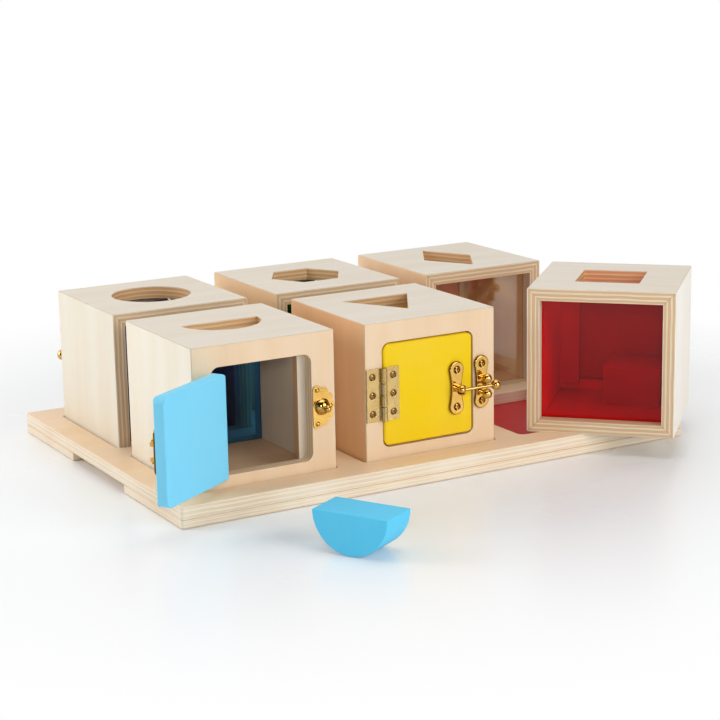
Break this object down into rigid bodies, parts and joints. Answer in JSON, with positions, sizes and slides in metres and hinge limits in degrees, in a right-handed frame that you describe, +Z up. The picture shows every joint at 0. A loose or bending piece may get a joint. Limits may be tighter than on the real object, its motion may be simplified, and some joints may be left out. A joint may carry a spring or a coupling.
{
  "type": "lock box set",
  "caption": "Wooden lock boxes with brass-latched doors, tinted windows and shape holes in their tops, standing in a socketed plywood tray.",
  "frame": {"origin": "middle of the tray's underside", "axes": "+Z up; +X along the tray's long side; the doors of the front row face -Y"},
  "size_m": [0.5559, 0.4937, 0.145],
  "materials": {
    "tray_plywood": "clear satin lacquer",
    "box_plywood": "clear satin lacquer",
    "brass": "polished",
    "blue_paint": "satin paint",
    "blue_acrylic": "clear tint, gloss",
    "yellow_paint": "satin paint",
    "yellow_acrylic": "clear tint, gloss",
    "red_paint": "satin paint",
    "red_acrylic": "clear tint, gloss",
    "purple_paint": "satin paint",
    "purple_acrylic": "clear tint, gloss",
    "green_paint": "satin paint",
    "green_acrylic": "clear tint, gloss",
    "orange_paint": "satin paint",
    "orange_acrylic": "clear tint, gloss"
  },
  "bodies": {
    "tray": {"tray_base": "tray_plywood", "tray_frame": "tray_plywood"},
    "blue_box": {"blue_shell": "box_plywood", "blue_top_panel": "box_plywood", "blue_window": "blue_acrylic", "blue_hinge_frame_leaf": "brass", "blue_clasp_keeper": "brass"},
    "blue_door_leaf": {"blue_door": "blue_paint", "blue_hinge_door_leaf": "brass", "blue_clasp_plate": "brass"},
    "blue_latch_loop": {"blue_clasp_loop": "brass"},
    "blue_loose_block": {"blue_block": "blue_paint"},
    "yellow_box": {"yellow_shell": "box_plywood", "yellow_top_panel": "box_plywood", "yellow_window": "yellow_acrylic", "yellow_hinge_frame_leaf": "brass", "yellow_guard_fork": "brass"},
    "yellow_door_leaf": {"yellow_door": "yellow_paint", "yellow_hinge_door_leaf": "brass", "yellow_guard_plate": "brass"},
    "yellow_latch_arm": {"yellow_guard_arm": "brass"},
    "yellow_loose_block": {"yellow_block": "yellow_paint"},
    "red_box": {"red_shell": "box_plywood", "red_top_panel": "box_plywood", "red_window": "red_acrylic", "red_hinge_frame_leaf": "brass", "red_bolt_keeper": "brass"},
    "red_door_leaf": {"red_door": "red_paint", "red_hinge_door_leaf": "brass", "red_bolt_base": "brass"},
    "red_latch_bolt": {"red_bolt_rod": "brass"},
    "red_loose_block": {"red_block": "red_paint"},
    "purple_box": {"purple_shell": "box_plywood", "purple_top_panel": "box_plywood", "purple_window": "purple_acrylic", "purple_hinge_frame_leaf": "brass", "purple_knob_rosette": "brass"},
    "purple_door_leaf": {"purple_door": "purple_paint", "purple_hinge_door_leaf": "brass", "purple_hook_rosette": "brass"},
    "purple_latch_hook": {"purple_hook": "brass"},
    "purple_loose_block": {"purple_block": "purple_paint"},
    "green_box": {"green_shell": "box_plywood", "green_top_panel": "box_plywood", "green_window": "green_acrylic", "green_hinge_frame_leaf": "brass"},
    "green_door_leaf": {"green_door": "green_paint", "green_hinge_door_leaf": "brass"},
    "green_latch_button": {"green_turn_button": "brass"},
    "green_loose_block": {"green_block": "green_paint"},
    "orange_box": {"orange_shell": "box_plywood", "orange_top_panel": "box_plywood", "orange_window": "orange_acrylic", "orange_hinge_frame_leaf": "brass", "orange_hasp_staple": "brass"},
    "orange_door_leaf": {"orange_door": "orange_paint", "orange_hinge_door_leaf": "brass", "orange_hasp_leaf": "brass"},
    "orange_latch_strap": {"orange_hasp_strap": "brass"},
    "orange_loose_block": {"orange_block": "orange_paint"}
  },
  "joints": [
    {"name": "blue_box_lift", "type": "slide", "parent": "tray", "child": "blue_box", "axis": [0, 0, 1], "range_m": [0, 0.15]},
    {"name": "blue_door_swing", "type": "hinge", "parent": "blue_box", "child": "blue_door_leaf", "pos_m": [-0.202, -0.144, 0.0705], "axis": [0, 0, -1], "range_deg": [-148, 27]},
    {"name": "blue_loop_swing", "type": "hinge", "parent": "blue_door_leaf", "child": "blue_latch_loop", "pos_m": [-0.27412, -0.18824, 0.0714], "axis": [0, 0, 1], "range_deg": [0, 180]},
    {"name": "blue_block_lift", "type": "slide", "parent": "tray", "child": "blue_loose_block", "axis": [0, 0, 1], "range_m": [0, 0.1]},
    {"name": "yellow_box_lift", "type": "slide", "parent": "tray", "child": "yellow_box", "axis": [0, 0, 1], "range_m": [0, 0.15]},
    {"name": "yellow_door_swing", "type": "hinge", "parent": "yellow_box", "child": "yellow_door_leaf", "pos_m": [-0.047, -0.144, 0.0705], "axis": [0, 0, -1], "range_deg": [0, 150]},
    {"name": "yellow_arm_swing", "type": "hinge", "parent": "yellow_door_leaf", "child": "yellow_latch_arm", "pos_m": [0.024, -0.1515, 0.069], "axis": [0, 0, -1], "range_deg": [0, 170]},
    {"name": "yellow_block_lift", "type": "slide", "parent": "yellow_box", "child": "yellow_loose_block", "axis": [0, 0, 1], "range_m": [0, 0.14]},
    {"name": "red_box_lift", "type": "slide", "parent": "tray", "child": "red_box", "axis": [0, 0, 1], "range_m": [0, 0.15]},
    {"name": "red_door_swing", "type": "hinge", "parent": "red_box", "child": "red_door_leaf", "pos_m": [0.27026, -0.12221, 0.0815], "axis": [0, 0, -1], "range_deg": [0, 150]},
    {"name": "red_bolt_slide", "type": "slide", "parent": "red_door_leaf", "child": "red_latch_bolt", "axis": [-0.7071, 0.7071, 0], "range_m": [0, 0.014]},
    {"name": "red_block_lift", "type": "slide", "parent": "red_box", "child": "red_loose_block", "axis": [0, 0, 1], "range_m": [0, 0.065]},
    {"name": "purple_box_lift", "type": "slide", "parent": "tray", "child": "purple_box", "axis": [0, 0, 1], "range_m": [0, 0.15]},
    {"name": "purple_door_swing", "type": "hinge", "parent": "purple_box", "child": "purple_door_leaf", "pos_m": [-0.108, 0.144, 0.0705], "axis": [0, 0, -1], "range_deg": [0, 150]},
    {"name": "purple_hook_turn", "type": "hinge", "parent": "purple_door_leaf", "child": "purple_latch_hook", "pos_m": [-0.185, 0.149, 0.0705], "axis": [0, 1, 0], "range_deg": [-270, 60]},
    {"name": "purple_block_lift", "type": "slide", "parent": "purple_box", "child": "purple_loose_block", "axis": [0, 0, 1], "range_m": [0, 0.14]},
    {"name": "green_box_lift", "type": "slide", "parent": "tray", "child": "green_box", "axis": [0, 0, 1], "range_m": [0, 0.15]},
    {"name": "green_door_swing", "type": "hinge", "parent": "green_box", "child": "green_door_leaf", "pos_m": [0.047, 0.144, 0.0705], "axis": [0, 0, -1], "range_deg": [0, 150]},
    {"name": "green_button_turn", "type": "hinge", "parent": "green_box", "child": "green_latch_button", "pos_m": [-0.053, 0.141, 0.0705], "axis": [0, 1, 0], "range_deg": [-90, 90]},
    {"name": "green_block_lift", "type": "slide", "parent": "green_box", "child": "green_loose_block", "axis": [0, 0, 1], "range_m": [0, 0.14]},
    {"name": "orange_box_lift", "type": "slide", "parent": "tray", "child": "orange_box", "axis": [0, 0, 1], "range_m": [0, 0.15]},
    {"name": "orange_door_swing", "type": "hinge", "parent": "orange_box", "child": "orange_door_leaf", "pos_m": [0.202, 0.144, 0.0705], "axis": [0, 0, -1], "range_deg": [0, 150]},
    {"name": "orange_strap_swing", "type": "hinge", "parent": "orange_door_leaf", "child": "orange_latch_strap", "pos_m": [0.118, 0.144, 0.0705], "axis": [0, 0, -1], "range_deg": [0, 175]},
    {"name": "orange_block_lift", "type": "slide", "parent": "orange_box", "child": "orange_loose_block", "axis": [0, 0, 1], "range_m": [0, 0.14]}
  ]
}
